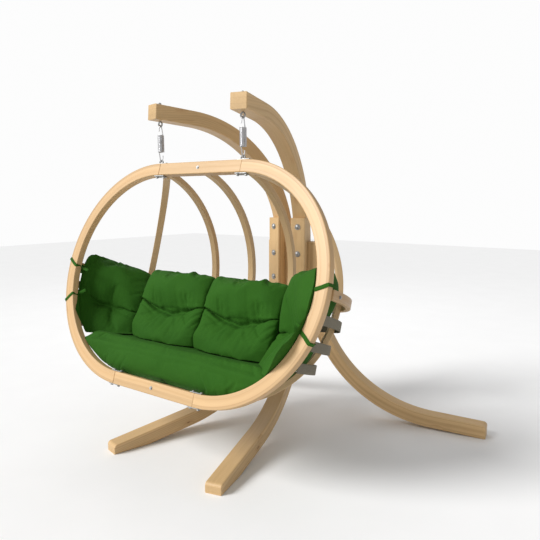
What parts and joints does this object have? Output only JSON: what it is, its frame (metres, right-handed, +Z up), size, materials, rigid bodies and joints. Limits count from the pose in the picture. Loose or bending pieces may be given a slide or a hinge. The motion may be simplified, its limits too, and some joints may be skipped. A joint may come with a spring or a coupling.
{
  "type": "hanging swing seat",
  "caption": "Two-seat hanging basket swing of bent wood with green cushions, hung on two springs from a curved wooden stand.",
  "frame": {"origin": "on the floor, at the centre of the object's outline", "axes": "+X to the sitters' left, +Y to the back where the column stands, +Z up; the seat faces -Y"},
  "size_m": [2.4488, 1.5048, 1.8725],
  "materials": {
    "pale_wood": "satin varnished pale laminated pine",
    "hoop_wood": "satin varnished bent pine",
    "stand_wood": "satin varnished laminated pine with knots",
    "zinc_steel": "bright zinc plated",
    "spring_steel": "bright zinc plated spring wire",
    "green_fabric": "woven green cotton",
    "webbing": "woven khaki webbing"
  },
  "bodies": {
    "basket": {"back_belt": "hoop_wood", "belt_bolts": "hoop_wood", "centre_hoop": "hoop_wood", "joint_bolt_heads": "zinc_steel", "joint_nuts": "zinc_steel", "left_back_cushion": "green_fabric", "left_corner_hoop": "hoop_wood", "left_hanging_eye": "zinc_steel", "left_hoop": "hoop_wood", "left_side_cushion": "green_fabric", "lower_band": "webbing", "lower_joint_plates": "zinc_steel", "middle_band": "webbing", "right_back_cushion": "green_fabric", "right_corner_hoop": "hoop_wood", "right_hanging_eye": "zinc_steel", "right_hoop": "hoop_wood", "right_side_cushion": "green_fabric", "ring_bottom_bar": "pale_wood", "ring_face_bolts": "pale_wood", "ring_left_arc": "pale_wood", "ring_right_arc": "pale_wood", "ring_top_bar": "pale_wood", "seat_cushion": "green_fabric", "seat_straps": "webbing", "upper_band": "webbing", "upper_joint_plates": "zinc_steel"},
    "stand": {"centre_spacer": "stand_wood", "eye_bolt_nuts": "zinc_steel", "eye_bolt_washers": "zinc_steel", "left_arm": "stand_wood", "left_eye_bolt": "zinc_steel", "left_front_leg": "stand_wood", "left_rear_leg": "stand_wood", "left_splice_board": "stand_wood", "rear_leg_bolts": "zinc_steel", "rear_leg_washers": "zinc_steel", "right_arm": "stand_wood", "right_eye_bolt": "zinc_steel", "right_front_leg": "stand_wood", "right_rear_leg": "stand_wood", "right_splice_board": "stand_wood", "splice_bolts": "zinc_steel", "splice_nuts": "zinc_steel", "splice_washers": "zinc_steel"},
    "lower_hooks": {"left_lower_hook": "spring_steel", "right_lower_hook": "spring_steel"},
    "suspension": {"left_spring": "spring_steel", "left_upper_hook": "spring_steel", "right_spring": "spring_steel", "right_upper_hook": "spring_steel"}
  },
  "joints": [
    {"name": "swing", "type": "hinge", "parent": "stand", "child": "suspension", "pos_m": [0, -0.363, 1.749], "axis": [1, 0, 0], "range_deg": [-22, 15]},
    {"name": "bounce", "type": "slide", "parent": "suspension", "child": "lower_hooks", "axis": [0, 0, -1], "range_m": [-0.012, 0.06], "stiffness_N_per_m": 20000, "springref_m": -0.0272, "deforming": ["left_spring", "right_spring"]},
    {"name": "tilt", "type": "hinge", "parent": "lower_hooks", "child": "basket", "pos_m": [0, -0.363, 1.572], "axis": [1, 0, 0], "range_deg": [-6, 6]}
  ]
}
